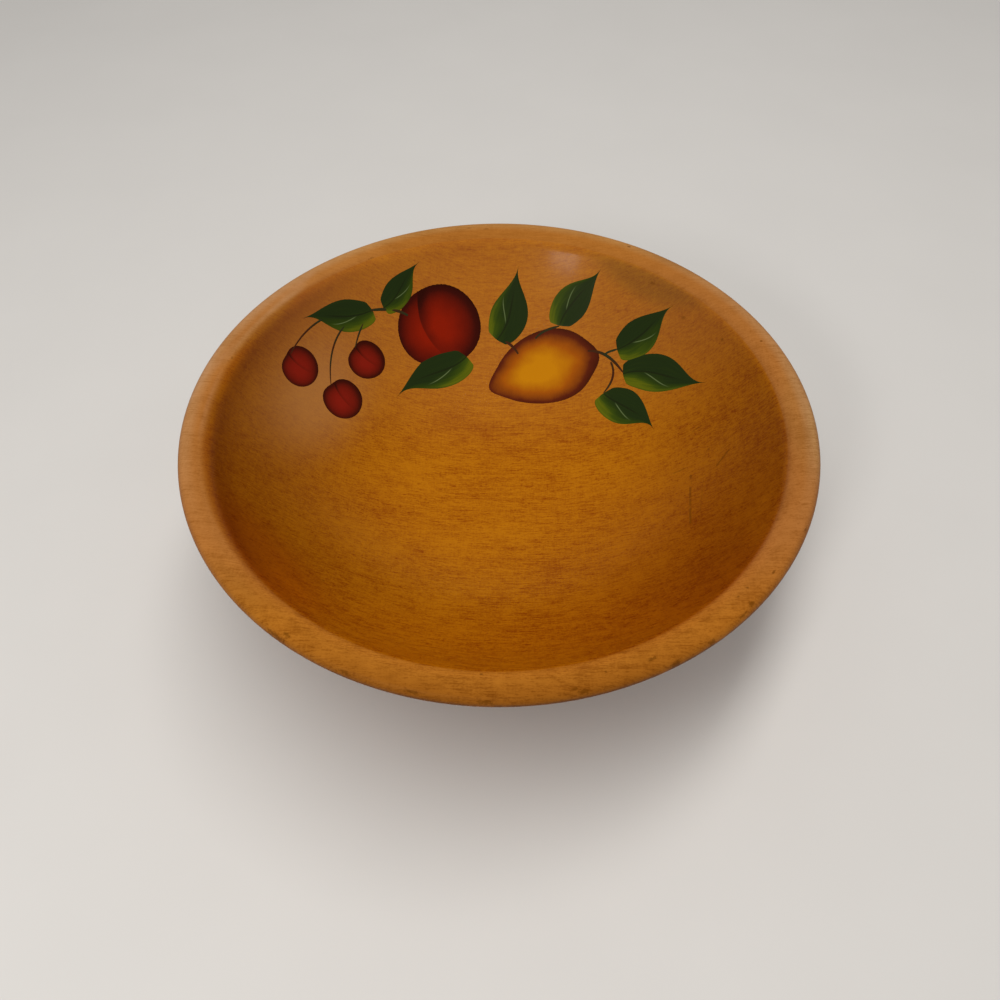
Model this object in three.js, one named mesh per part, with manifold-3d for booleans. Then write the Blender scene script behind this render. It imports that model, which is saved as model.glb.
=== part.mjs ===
// Footed wooden fruit bowl: a turned bowl on three turned bun feet, each drawn up by a round-head wood screw.
// Millimetres, +Z up. The origin lies on the table, under the middle of the bowl.
import * as THREE from "three";
import { mergeVertices } from "three/addons/utils/BufferGeometryUtils.js";
import Module from "manifold-3d";

const degrees = THREE.MathUtils.degToRad;

// Bowl: the rim
const rimRadius = 165;
const rimWidth = 15; // from the rim's outer edge to the inside wall
const rimFall = 2; // how far below the crest the inside wall reaches the rim's inner edge
const rimOuterRound = 4;
const rimShoulder = 3.5; // how far past the rim's inner edge its crown runs into the wall
const rimFullness = 0.75; // how squarely the crown turns: 1 would give it a sharp corner

// Bowl: the inside
const insideDepth = 78; // from the rim's crest to the middle of the floor
const insidePower = 2.8; // 2 gives a round bottom, and a higher power a flatter one with steeper sides
const floorThickness = 13;

// Bowl: the outside, which springs from a flat base
const baseRadius = 72;
const baseEdgeRound = 3;
const wallBaseAngle = degrees(26); // the wall's rise where it leaves the base
const wallRimAngle = degrees(60); // and where it meets the rim
const wallFullness = 0.38; // how far each end's direction carries, as a share of the wall's span

// Feet
const footCount = 3;
const firstFootAngle = degrees(90); // one foot at the back and two in front
const footEdgeMargin = 5; // from a foot's belly in to the base's edge
const footHeight = 20;
const bellyRadius = 17;
const bellyHeight = 8.2; // where the foot is widest
const soleRadius = 11;
const shoulderHeight = 16.2; // where the belly ends in the neck
const neckRadius = 10.4;
const collarRadius = 12.6; // the flat that meets the bowl
const collarLand = 1.4; // height of the collar's upright edge

// Screws
const screwRadius = 2.1; // a No. 8 wood screw
const screwBite = 10; // how deep it goes into the bowl
const screwTaper = 4; // length of its pointed end
const headRadius = 4;
const headHeight = 2.8;
const slotWidth = 1;
const slotDepth = 1.4;
const slotTurn = degrees(50); // each slot stops at an angle of its own
const counterboreRadius = 5.6;
const counterboreDepth = 8.5; // from the sole up to the seat of the screw's head

// Fits
const screwClearance = 0.3; // round the screw, in the foot and in the bowl
const pilotSpare = 1; // how much deeper the pilot hole is than the screw

// Fineness of the round shapes
const bowlSegments = 88;
const footSegments = 32;
const screwSegments = 20;

// Worked out from the sizes above
const insideRadius = rimRadius - rimWidth;
const bowlHeight = floorThickness + insideDepth;
const footCircle = baseRadius - footEdgeMargin - bellyRadius;
const screwHoleRadius = screwRadius + screwClearance;
const screwTip = footHeight + screwBite;

const wood = new THREE.MeshStandardMaterial({ color: 0xb9763a, roughness: 0.42, metalness: 0 });
const steel = new THREE.MeshStandardMaterial({ color: 0xa8a49a, roughness: 0.45, metalness: 1 });

const wasm = await Module();
wasm.setup();

function point(radius, height) {
  return new THREE.Vector2(radius, height);
}

// The point that lies a distance away from another, in the direction of an angle.
function away(from, angle, distance) {
  return point(from.x + distance * Math.cos(angle), from.y + distance * Math.sin(angle));
}

// An elliptical arc of an outline, from one angle to another, clockwise where the second is smaller.
function arc(centre, acrossRadius, uprightRadius, fromAngle, toAngle, steps) {
  const clockwise = toAngle < fromAngle;
  const ellipse = [centre.x, centre.y, acrossRadius, uprightRadius, fromAngle, toAngle, clockwise];
  return new THREE.EllipseCurve(...ellipse).getPoints(steps);
}

// The arc that rounds an outline's corner and touches both of its sides.
function roundCorner(before, corner, after, radius, steps) {
  const back = before.clone().sub(corner).normalize();
  const ahead = after.clone().sub(corner).normalize();
  const halfAngle = Math.acos(back.dot(ahead)) / 2;
  const inwards = back.clone().add(ahead).normalize();
  const centre = corner.clone().addScaledVector(inwards, radius / Math.sin(halfAngle));
  const start = corner.clone().addScaledVector(back, radius / Math.tan(halfAngle)).sub(centre);
  const end = corner.clone().addScaledVector(ahead, radius / Math.tan(halfAngle)).sub(centre);
  const turn = Math.atan2(start.cross(end), start.dot(end));
  return arc(centre, radius, radius, start.angle(), start.angle() + turn, steps);
}

// Turns an outline of radius and height about the upright axis.
function turned(outline, segments) {
  return new THREE.LatheGeometry(outline, segments).rotateX(Math.PI / 2);
}

// Cuts are made on closed solids: a geometry is welded into one, and unpacked again afterwards.
function toSolid(geometry) {
  const bare = new THREE.BufferGeometry().setAttribute("position", geometry.getAttribute("position"));
  const welded = mergeVertices(bare.setIndex(geometry.index), 1e-4);
  const vertProperties = welded.getAttribute("position").array;
  const triVerts = new Uint32Array(welded.index.array);
  return new wasm.Manifold(new wasm.Mesh({ numProp: 3, vertProperties, triVerts }));
}

function toGeometry(solid) {
  const { vertProperties, triVerts } = solid.getMesh();
  const geometry = new THREE.BufferGeometry();
  geometry.setAttribute("position", new THREE.BufferAttribute(vertProperties, 3));
  geometry.setIndex(new THREE.BufferAttribute(triVerts, 1));
  const faceted = geometry.toNonIndexed();
  faceted.computeVertexNormals();
  return faceted;
}

// Where each foot stands under the bowl's base.
function footPlaces() {
  return Array.from({ length: footCount }, (_, index) => {
    const angle = firstFootAngle + (index * 2 * Math.PI) / footCount;
    return new THREE.Vector3(footCircle * Math.cos(angle), footCircle * Math.sin(angle), 0);
  });
}

// Height of the inside surface above the bowl's base, at a distance from the middle.
function insideHeight(radius) {
  return floorThickness + (insideDepth - rimFall) * (radius / insideRadius) ** insidePower;
}

// How steeply the inside surface rises there.
function insideSlope(radius) {
  return (insidePower * (insideHeight(radius) - floorThickness)) / radius;
}

// The outside wall, which fills out between the base's edge and the rim.
function wallOutline(rimStart) {
  const baseCorner = point(baseRadius, 0);
  const carry = wallFullness * baseCorner.distanceTo(rimStart);
  const lowHandle = away(baseCorner, wallBaseAngle, carry);
  const highHandle = away(rimStart, wallRimAngle + Math.PI, carry);
  const wall = new THREE.CubicBezierCurve(baseCorner, lowHandle, highHandle, rimStart).getPoints(12);
  const baseEdge = roundCorner(point(0, 0), baseCorner, wall[1], baseEdgeRound, 2);
  return [point(0, 0), ...baseEdge, ...wall.slice(1, -1)];
}

// The rim: a rounded outer edge, and a crown that leaves it level and rolls over into the inside wall.
function rimOutline() {
  const edgeCentre = point(rimRadius - rimOuterRound, bowlHeight - rimOuterRound);
  const outerEdge = arc(edgeCentre, rimOuterRound, rimOuterRound, wallRimAngle - Math.PI / 2, Math.PI / 2, 5);
  const crest = outerEdge.at(-1);
  const wallEnd = point(insideRadius - rimShoulder, insideHeight(insideRadius - rimShoulder));
  const crossing = point(wallEnd.x + (crest.y - wallEnd.y) / insideSlope(wallEnd.x), crest.y);
  const crestHandle = crest.clone().lerp(crossing, rimFullness);
  const wallHandle = wallEnd.clone().lerp(crossing, rimFullness);
  const crown = new THREE.CubicBezierCurve(crest, crestHandle, wallHandle, wallEnd).getPoints(8);
  return [...outerEdge, ...crown.slice(1)];
}

// The inside, from the end of the rim's crown down to the middle of the floor.
function insideOutline(edgeRadius) {
  const steps = 16;
  return Array.from({ length: steps }, (_, step) => {
    const radius = edgeRadius * (1 - (step + 1) / steps);
    return point(radius, insideHeight(radius));
  });
}

function bowlGeometry() {
  const rim = rimOutline();
  const outline = [...wallOutline(rim[0]), ...rim, ...insideOutline(rim.at(-1).x)];
  let solid = toSolid(turned(outline, bowlSegments));
  for (const place of footPlaces()) {
    const top = screwBite + pilotSpare;
    const hole = [point(0, -top), point(screwHoleRadius, -top), point(screwHoleRadius, top), point(0, top)];
    solid = solid.subtract(toSolid(turned(hole, screwSegments).translate(place.x, place.y, 0)));
  }
  return toGeometry(solid);
}

// A bun foot: flat sole, round belly, hollow neck and collar, bored for its screw and counterbored for the head.
function footGeometry() {
  const bellyBelow = point(soleRadius, bellyHeight);
  const bellyAbove = point(neckRadius, bellyHeight);
  const neckHollow = point(collarRadius, shoulderHeight);
  const collarFoot = footHeight - collarLand;
  const outline = [
    point(counterboreRadius, counterboreDepth),
    point(counterboreRadius, 0),
    ...arc(bellyBelow, bellyRadius - soleRadius, bellyHeight, -Math.PI / 2, 0, 6),
    ...arc(bellyAbove, bellyRadius - neckRadius, shoulderHeight - bellyHeight, 0, Math.PI / 2, 6).slice(1),
    ...arc(neckHollow, collarRadius - neckRadius, collarFoot - shoulderHeight, Math.PI, Math.PI / 2, 4).slice(1),
    point(collarRadius, footHeight),
    point(screwHoleRadius, footHeight),
    point(screwHoleRadius, counterboreDepth),
    point(counterboreRadius, counterboreDepth),
  ];
  return turned(outline, footSegments);
}

// A wood screw, head down: domed head with a slot, plain shank and tapered point.
function screwGeometry() {
  const outline = [
    ...arc(point(0, counterboreDepth), headRadius, headHeight, -Math.PI / 2, 0, 5),
    point(screwRadius, counterboreDepth),
    point(screwRadius, screwTip - screwTaper),
    point(0, screwTip),
  ];
  outline[0].x = 0;
  const slot = new THREE.BoxGeometry(3 * headRadius, slotWidth, 2 * slotDepth);
  slot.translate(0, 0, counterboreDepth - headHeight);
  return toGeometry(toSolid(turned(outline, screwSegments)).subtract(toSolid(slot)));
}

function named(name, geometry, material) {
  const mesh = new THREE.Mesh(geometry, material);
  mesh.name = name;
  return mesh;
}

const footedBowl = new THREE.Group();

const bowl = named("bowl", bowlGeometry(), wood);
bowl.position.z = footHeight;
footedBowl.add(bowl);

footPlaces().forEach((place, index) => {
  const foot = named(`foot_${index + 1}`, footGeometry(), wood);
  const screw = named(`foot_screw_${index + 1}`, screwGeometry(), steel);
  screw.rotation.z = (index + 1) * slotTurn;
  const leg = new THREE.Group();
  leg.position.copy(place);
  leg.add(foot, screw);
  footedBowl.add(leg);
});

export default footedBowl;
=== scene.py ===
# %% [markdown]
# # A footed wooden fruit bowl
# A wide bowl turned from one board of pale maple and varnished honey amber. It stands on three
# turned bun feet, each drawn up to the flat base by one wood screw from below. Fruit and leaves are
# painted on the far inside wall. The construction model gives the true sizes and places. This lesson
# gives every piece its fine shape and its finish: a lathe, a screw cutter and a painter's brush made
# with Geometry Nodes, and wood, paint and steel made with shader nodes.

# %% Load the construction model as a fixed frame
import math

import bpy
from mathutils import Euler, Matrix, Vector


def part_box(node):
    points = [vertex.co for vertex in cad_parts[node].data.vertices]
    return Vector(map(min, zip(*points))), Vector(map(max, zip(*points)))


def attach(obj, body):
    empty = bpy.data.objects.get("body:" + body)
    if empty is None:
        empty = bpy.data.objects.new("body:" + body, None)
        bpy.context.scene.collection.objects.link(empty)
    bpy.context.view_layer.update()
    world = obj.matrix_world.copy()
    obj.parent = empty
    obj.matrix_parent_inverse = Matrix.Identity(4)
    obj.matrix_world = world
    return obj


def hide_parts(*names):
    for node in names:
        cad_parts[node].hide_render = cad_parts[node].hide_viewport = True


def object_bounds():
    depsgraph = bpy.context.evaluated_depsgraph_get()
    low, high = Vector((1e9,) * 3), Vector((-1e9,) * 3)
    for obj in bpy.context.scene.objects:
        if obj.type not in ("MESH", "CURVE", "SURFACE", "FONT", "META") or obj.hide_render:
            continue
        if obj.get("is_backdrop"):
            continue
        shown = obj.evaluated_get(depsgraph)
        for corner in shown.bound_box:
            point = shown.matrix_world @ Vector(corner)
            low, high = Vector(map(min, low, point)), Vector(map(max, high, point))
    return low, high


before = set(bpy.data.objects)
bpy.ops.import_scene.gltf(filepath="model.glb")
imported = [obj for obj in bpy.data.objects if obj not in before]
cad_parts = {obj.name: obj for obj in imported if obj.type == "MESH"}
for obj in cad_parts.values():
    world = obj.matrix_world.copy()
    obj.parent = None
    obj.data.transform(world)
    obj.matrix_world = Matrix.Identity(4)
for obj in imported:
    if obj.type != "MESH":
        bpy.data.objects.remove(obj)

construction_low, construction_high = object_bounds()
print("construction box, mm:", [round(side * 1000, 1) for side in construction_high - construction_low])

# %% [markdown]
# ## Sizes
# Every piece has to lie where the construction model has it, so the sizes that the frame can tell are
# read from it, and only the ones that it can't tell are written here. All lengths are in metres, and
# MM turns a size that a woodturner would say in millimetres into metres.

# %% Sizes from the frame, and the bowl's own sizes
MM = 0.001
bowl_low, bowl_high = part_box("bowl")
rim_radius = (bowl_high.x - bowl_low.x) / 2
foot_height = bowl_low.z
rim_height = bowl_high.z
foot_places = [(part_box(f"foot_{number}")[0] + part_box(f"foot_{number}")[1]) / 2 for number in (1, 2, 3)]

rim_width = 15 * MM
rim_fall = 2 * MM  # how far below the crest the inside wall reaches the rim's inner edge
rim_outer_round = 4 * MM
rim_shoulder = 3.5 * MM  # how far past the rim's inner edge its crown runs into the wall
rim_fullness = 0.75  # how squarely the crown turns: 1 would give it a sharp corner
inside_depth = 78 * MM  # from the crest to the middle of the floor
inside_power = 2.8
base_radius = 72 * MM
base_edge_round = 3 * MM
wall_base_angle = math.radians(26)  # the outside wall's rise where it leaves the base
wall_rim_angle = math.radians(60)  # and where it meets the rim
wall_fullness = 0.38  # how far each end's direction carries, as a share of the wall's span
inside_radius = rim_radius - rim_width
floor_height = rim_height - inside_depth
print("rim radius", round(rim_radius / MM, 1), "mm, inside radius", round(inside_radius / MM, 1), "mm")
print("inside floor at", round(floor_height / MM, 1), "mm")


# %% [markdown]
# ## Writing node trees as sums
# A node tree is easier to read as a formula than as a list of links. `Wire` is one output of a node
# and knows the arithmetic signs: a sum of wires adds Math nodes to the tree. `Bench` is the tree
# itself, and its one method `add` makes any other node: first its settings, then a value or a wire
# for each of its sockets. The same two classes serve shader trees and Geometry Nodes.

# %% Wires and the bench
class Wire:
    """One output of a node. Arithmetic on wires adds Math nodes to their tree."""

    def __init__(self, bench, socket):
        self.bench = bench
        self.socket = socket

    def __getitem__(self, name):
        """Another output of the same node."""
        return Wire(self.bench, self.socket.node.outputs[name])

    def __add__(self, other):
        return self.bench.maths("ADD", self, other)

    def __sub__(self, other):
        return self.bench.maths("SUBTRACT", self, other)

    def __rsub__(self, other):
        return self.bench.maths("SUBTRACT", other, self)

    def __mul__(self, other):
        return self.bench.maths("MULTIPLY", self, other)

    def __truediv__(self, other):
        return self.bench.maths("DIVIDE", self, other)

    def __pow__(self, other):
        return self.bench.maths("POWER", self, other)

    def __rtruediv__(self, other):
        return self.bench.maths("DIVIDE", other, self)

    __radd__ = __add__
    __rmul__ = __mul__


class Bench:
    """A node tree that is being put together."""

    def __init__(self, tree):
        self.tree = tree

    def add(self, kind, settings=None, sockets=None):
        """Adds a node, and returns its first output in use."""
        node = self.tree.nodes.new(kind)
        for name, value in (settings or {}).items():
            if name == "stops":
                self.set_stops(node.color_ramp, value)
            else:
                setattr(node, name, value)
        for name, value in (sockets or {}).items():
            self.give(node.inputs[name], value)
        first = next((socket for socket in node.outputs if socket.enabled), None)
        return Wire(self, first) if first else node

    def give(self, socket, value):
        if isinstance(value, Wire):
            self.tree.links.new(value.socket, socket)
        elif socket.type == "RGBA":
            socket.default_value = (*value[:3], 1.0)
        else:
            socket.default_value = value

    def set_stops(self, ramp, stops):
        while len(ramp.elements) < len(stops):
            ramp.elements.new(1.0)
        for element, (place, colour) in zip(ramp.elements, stops):
            element.position = place
            element.color = (*colour, 1.0)

    def maths(self, operation, *values):
        return self.add("ShaderNodeMath", {"operation": operation}, dict(enumerate(values)))

    def vector(self, operation, *values):
        return self.add("ShaderNodeVectorMath", {"operation": operation}, dict(enumerate(values)))

    def length(self, x, y):
        """The length of a run whose two parts are x and y."""
        return self.maths("SQRT", x * x + y * y)

    def mix(self, share, first, second, blend="MIX"):
        """Mixes two colours: all of the first at share 0, all of the second at share 1."""
        settings = {"data_type": "RGBA", "blend_type": blend}
        return self.add("ShaderNodeMix", settings, {0: share, 6: first, 7: second})

    def split(self, vector):
        parts = self.add("ShaderNodeSeparateXYZ", None, {"Vector": vector})
        return parts, parts["Y"], parts["Z"]

    def join(self, x, y, z):
        return self.add("ShaderNodeCombineXYZ", None, {"X": x, "Y": y, "Z": z})

    def between(self, value, low, high):
        """0 at low, 1 at high and a soft step from one to the other. It falls where low is the larger."""
        settings = {"interpolation_type": "SMOOTHSTEP"}
        sockets = {"Value": value, "From Min": low, "From Max": high}
        return self.add("ShaderNodeMapRange", settings, sockets)


# %% Geometry trees with named inputs
def geometry_tree(name, **inputs):
    """Starts a Geometry Nodes tree. Each input is named and has a kind, and may have a first value."""
    tree = bpy.data.node_groups.new(name, "GeometryNodeTree")
    tree.interface.new_socket("Geometry", in_out="INPUT", socket_type="NodeSocketGeometry")
    tree.interface.new_socket("Geometry", in_out="OUTPUT", socket_type="NodeSocketGeometry")
    for label, (kind, value) in inputs.items():
        socket = tree.interface.new_socket(label, in_out="INPUT", socket_type="NodeSocket" + kind)
        if value is not None:
            socket.default_value = value
    bench = Bench(tree)
    given = tree.nodes.new("NodeGroupInput")
    return bench, {socket.name: Wire(bench, socket) for socket in given.outputs if socket.name}


def store(bench, geometry, label, value):
    """Stores a vector with every point, under a name that a finish can read."""
    sockets = {"Geometry": geometry, "Name": label, "Value": value}
    return bench.add("GeometryNodeStoreNamedAttribute", {"data_type": "FLOAT_VECTOR"}, sockets)


def end_tree(bench, geometry, material):
    """Ends a tree as every tree here ends: instances made real, shaded smooth, with its material set."""
    real = bench.add("GeometryNodeRealizeInstances", None, {"Geometry": geometry})
    smooth = bench.add("GeometryNodeSetShadeSmooth", None, {"Geometry": real})
    dressed = bench.add("GeometryNodeSetMaterial", None, {"Geometry": smooth, "Material": material})
    output = bench.tree.nodes.new("NodeGroupOutput")
    bench.give(output.inputs["Geometry"], dressed)
    return bench.tree


def make_piece(name, mesh, tree, **values):
    """Runs a tree on a starting mesh, and keeps the result as a plain piece with no modifier."""
    piece = bpy.data.objects.new(name, mesh)
    bpy.context.scene.collection.objects.link(piece)
    modifier = piece.modifiers.new(tree.name, "NODES")
    modifier.node_group = tree
    for label, value in values.items():
        modifier[tree.interface.items_tree[label].identifier] = value
    graph = bpy.context.evaluated_depsgraph_get()
    made = bpy.data.meshes.new_from_object(
        piece.evaluated_get(graph), preserve_all_data_layers=True, depsgraph=graph
    )
    piece.modifiers.clear()
    piece.data = made
    made.name = name
    return piece


# %% [markdown]
# ## Outlines
# A turned piece is fully told by its outline: half of its section, drawn from the axis outwards. Real
# outlines are straight stretches, arcs and long curves, so that is how they are written here, as short
# functions that return points of radius and height. The arcs get many points and flat stretches few.

# %% Lines, arcs and curves of an outline
def line(start, end, steps):
    return [Vector(start).lerp(Vector(end), step / steps) for step in range(steps + 1)]


def arc(centre, across, upright, start, end, steps):
    """An elliptical arc, from one angle to another in degrees."""
    angles = [math.radians(start + (end - start) * step / steps) for step in range(steps + 1)]
    return [Vector((centre[0] + across * math.cos(a), centre[1] + upright * math.sin(a))) for a in angles]


def away(start, angle, distance):
    return Vector((start[0] + distance * math.cos(angle), start[1] + distance * math.sin(angle)))


def bezier(start, start_handle, end_handle, end, steps):
    points = []
    for step in range(steps + 1):
        t = step / steps
        weights = ((1 - t) ** 3, 3 * t * (1 - t) ** 2, 3 * t * t * (1 - t), t ** 3)
        ends = (start, start_handle, end_handle, end)
        points.append(sum((w * Vector(p) for w, p in zip(weights, ends)), Vector((0, 0))))
    return points


def rounded(before, corner, after, radius, steps):
    """The arc that rounds a corner and touches both of its sides."""
    back = (Vector(before) - Vector(corner)).normalized()
    ahead = (Vector(after) - Vector(corner)).normalized()
    half = back.angle(ahead) / 2
    centre = Vector(corner) + (back + ahead).normalized() * radius / math.sin(half)
    start = Vector(corner) + back * radius / math.tan(half) - centre
    end = Vector(corner) + ahead * radius / math.tan(half) - centre
    first = math.atan2(start.y, start.x)
    turn = math.atan2(start.x * end.y - start.y * end.x, start.dot(end))
    return arc(centre, radius, radius, math.degrees(first), math.degrees(first + turn), steps)


# %% The bowl's outline
def inside_height(radius):
    """Height of the inside surface. A power of 2 would be a round bottom, and a higher one is flatter."""
    return floor_height + (inside_depth - rim_fall) * (radius / inside_radius) ** inside_power


def rim_crown(crest):
    """The rim's top, which leaves the crest level and rolls over into the inside wall."""
    end = Vector((inside_radius - rim_shoulder, inside_height(inside_radius - rim_shoulder)))
    slope = inside_power * (end.y - floor_height) / end.x
    crossing = Vector((end.x + (crest.y - end.y) / slope, crest.y))
    crest_handle, end_handle = crest.lerp(crossing, rim_fullness), end.lerp(crossing, rim_fullness)
    return bezier(crest, crest_handle, end_handle, end, steps=28)


def bowl_outline():
    """The whole outline, from the middle of the base round to the middle inside, and its inside alone."""
    base_corner = Vector((base_radius, foot_height))
    edge_centre = (rim_radius - rim_outer_round, rim_height - rim_outer_round)
    edge_start = math.degrees(wall_rim_angle) - 90
    rim_edge = arc(edge_centre, rim_outer_round, rim_outer_round, edge_start, 90, steps=24)
    crown = rim_crown(rim_edge[-1])
    carry = wall_fullness * (rim_edge[0] - base_corner).length
    low_handle = away(base_corner, wall_base_angle, carry)
    high_handle = away(rim_edge[0], wall_rim_angle + math.pi, carry)
    wall = bezier(base_corner, low_handle, high_handle, rim_edge[0], steps=64)
    base_edge = rounded((0, foot_height), base_corner, wall[1], base_edge_round, steps=6)
    base = line((0, foot_height), base_edge[0], steps=16)[:-1]
    steps = 110
    radii = [crown[-1].x * (1 - step / steps) for step in range(1, steps + 1)]
    inside = [Vector((radius, inside_height(radius))) for radius in radii]
    return base + base_edge + wall[1:-1] + rim_edge + crown[1:] + inside, [crown[-1]] + inside


bowl_section, inside_section = bowl_outline()
print("bowl outline:", len(bowl_section), "points")

# %% [markdown]
# ## A lathe
# On a real lathe the wood turns and the tool follows the outline. Blender has a Screw modifier and a
# Spin tool for this. A Geometry Nodes lathe is just as short and can do one thing more: a flat grid
# has one row for each point of the outline and one column for each facet, every grid point is sent to
# its place round the axis, and the seam and the two poles are merged. Before the piece moves to where
# it stands, each point's place on the lathe and the way it faces are stored with it, for the finish.

# %% The lathe tree
def outline_mesh(name, outline):
    mesh = bpy.data.meshes.new(name)
    links = [(index, index + 1) for index in range(len(outline) - 1)]
    mesh.from_pydata([(point.x, 0, point.y) for point in outline], links, [])
    return mesh


def build_lathe():
    inputs = {"Facets": ("Int", 96), "Stands At": ("Vector", (0, 0, 0)), "Material": ("Material", None)}
    bench, given = geometry_tree("Lathe", **inputs)
    outline = given["Geometry"]
    rows = bench.add("GeometryNodeAttributeDomainSize", {"component": "MESH"}, {"Geometry": outline})
    sizes = {"Size X": 1, "Size Y": 1, "Vertices X": given["Facets"] + 1, "Vertices Y": rows}
    grid = bench.add("GeometryNodeMeshGrid", None, sizes)
    position = bench.add("GeometryNodeInputPosition")
    across, up, _ = bench.split(position)
    turn = (across + 0.5) * math.tau
    row = (up + 0.5) * (rows - 1) + 0.5
    sockets = {"Geometry": outline, "Value": position, "Index": row}
    place = bench.add("GeometryNodeSampleIndex", {"data_type": "FLOAT_VECTOR"}, sockets)
    radius, _, height = bench.split(place)
    wound = bench.join(radius * bench.maths("COSINE", turn), radius * bench.maths("SINE", turn), height)
    moved = bench.add("GeometryNodeSetPosition", None, {"Geometry": grid, "Position": wound})
    merged = bench.add("GeometryNodeMergeByDistance", None, {"Geometry": moved, "Distance": 0.001 * MM})
    marked = store(bench, merged, "on_lathe", position)
    marked = store(bench, marked, "faces", bench.add("GeometryNodeInputNormal"))
    sockets = {"Geometry": marked, "Translation": given["Stands At"]}
    return end_tree(bench, bench.add("GeometryNodeTransform", None, sockets), given["Material"])


lathe = build_lathe()
print("lathe tree:", len(lathe.nodes), "nodes")


# %% Crisp edges, and the measures of a finished piece
def finish_edges(piece, crisp=32):
    """Keeps edges crisp where faces meet at more than that many degrees, and prints the measures."""
    piece.data.set_sharp_from_angle(angle=math.radians(crisp))
    piece.data.calc_loop_triangles()
    volume = 0.0
    for triangle in piece.data.loop_triangles:
        a, b, c = (piece.data.vertices[index].co for index in triangle.vertices)
        volume += a.dot(b.cross(c)) / 6
    triangles = len(piece.data.loop_triangles)
    print(piece.name, "has", triangles, "triangles and", round(volume / (10 * MM) ** 3, 2), "cm3")
    return piece


# %% [markdown]
# ## The bowl
# The bowl is turned first, and then its three pilot holes are drilled from below. The drill is a tree
# too: a circle with three points carries a cylinder at each, and one Mesh Boolean cuts them all. A
# Boolean empties what was stored with the points, so which way each faces is stored again after it.

# %% The bowl, turned and drilled
screw_radius = 2.1 * MM
screw_bite = 10 * MM
screw_clearance = 0.3 * MM
pilot_spare = 1 * MM
hole_radius = screw_radius + screw_clearance
foot_circle = foot_places[0].y


def build_drill():
    inputs = {"Circle": ("Float", 0.0), "Hole Radius": ("Float", 0.0), "Hole Depth": ("Float", 0.0)}
    inputs |= {"Base": ("Float", 0.0), "Material": ("Material", None)}
    bench, given = geometry_tree("Drill", **inputs)
    circle = {"Vertices": len(foot_places), "Radius": given["Circle"]}
    places = bench.add("GeometryNodeMeshCircle", None, circle)
    lift = bench.join(0.0, 0.0, given["Base"])
    turned = {"Geometry": places, "Translation": lift, "Rotation": Euler((0, 0, math.pi / 2))}
    places = bench.add("GeometryNodeTransform", None, turned)
    sizes = {"Vertices": 48, "Radius": given["Hole Radius"], "Depth": given["Hole Depth"] * 2}
    bit = bench.add("GeometryNodeMeshCylinder", None, sizes)
    bits = bench.add("GeometryNodeInstanceOnPoints", None, {"Points": places, "Instance": bit})
    bits = bench.add("GeometryNodeRealizeInstances", None, {"Geometry": bits})
    settings = {"operation": "DIFFERENCE", "solver": "EXACT"}
    cut = {"Mesh 1": given["Geometry"], "Mesh 2": bits}
    drilled = bench.add("GeometryNodeMeshBoolean", settings, cut)
    drilled = store(bench, drilled, "faces", bench.add("GeometryNodeInputNormal"))
    return end_tree(bench, drilled, given["Material"])


blank = make_piece("bowl_blank", outline_mesh("bowl_outline", bowl_section), lathe, Facets=320)
sizes = {"Circle": foot_circle, "Hole Radius": hole_radius, "Hole Depth": screw_bite + pilot_spare}
bowl = make_piece("turned_bowl", blank.data, build_drill(), Base=foot_height, **sizes)
bpy.data.objects.remove(blank)
finish_edges(bowl)

# %% [markdown]
# ## The feet
# A bun foot is a little turned ball with a flat sole and a narrow neck. Its outline is two quarter
# ellipses for the belly, one for the hollow of the neck, and an upright collar. The hole for the screw
# and the wider counterbore for its head are turned in the same outline, so the outline closes on
# itself. The edges that a hand can reach are eased a little, as sandpaper would do.

# %% A foot's outline
belly_radius = 17 * MM
belly_height = 8.2 * MM
sole_radius = 11 * MM
shoulder_height = 16.2 * MM
neck_radius = 10.4 * MM
collar_radius = 12.6 * MM
collar_land = 1.4 * MM
counterbore_radius = 5.6 * MM
counterbore_depth = 8.5 * MM
eased_edge = 0.4 * MM


def foot_outline():
    floor = (counterbore_radius, counterbore_depth)
    mouth = rounded(floor, (counterbore_radius, 0), (sole_radius, 0), eased_edge, steps=4)
    low_middle, high_middle = (sole_radius, belly_height), (neck_radius, belly_height)
    high_part = shoulder_height - belly_height
    low_belly = arc(low_middle, belly_radius - sole_radius, belly_height, -90, 0, steps=20)
    high_belly = arc(high_middle, belly_radius - neck_radius, high_part, 0, 90, steps=20)
    hollow = (collar_radius, shoulder_height)
    hollow_height = foot_height - collar_land - shoulder_height
    neck = arc(hollow, collar_radius - neck_radius, hollow_height, 180, 90, steps=14)
    collar_edge = rounded(neck[-2], neck[-1], (collar_radius, foot_height), eased_edge, steps=4)
    seat = [Vector((collar_radius, foot_height)), Vector((hole_radius, foot_height))]
    bore = line(seat[-1], (hole_radius, counterbore_depth), steps=4)[1:]
    outline = mouth + low_belly + high_belly[1:] + neck[1:-2] + collar_edge + seat + bore + [Vector(floor)]
    return outline + [mouth[0]]


feet = []
for number, place in enumerate(foot_places, 1):
    stand = Vector((place.x, place.y, 0))
    outline = outline_mesh("foot_outline", foot_outline())
    foot = make_piece(f"bun_foot_{number}", outline, lathe, **{"Facets": 96, "Stands At": stand})
    feet.append(finish_edges(foot))

# %% [markdown]
# ## The screws
# A wood screw has a round head with a slot, and a thread on its shank that ends in a point. The lathe
# makes the blank. A second tree then cuts the thread: each point of the shank moves towards the axis
# by an amount that depends on its height and on its angle together, and that rule is a helix. A Mesh
# Boolean with a thin box cuts the slot. Each screw stops turning when it is tight, so each slot points
# another way.

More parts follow.
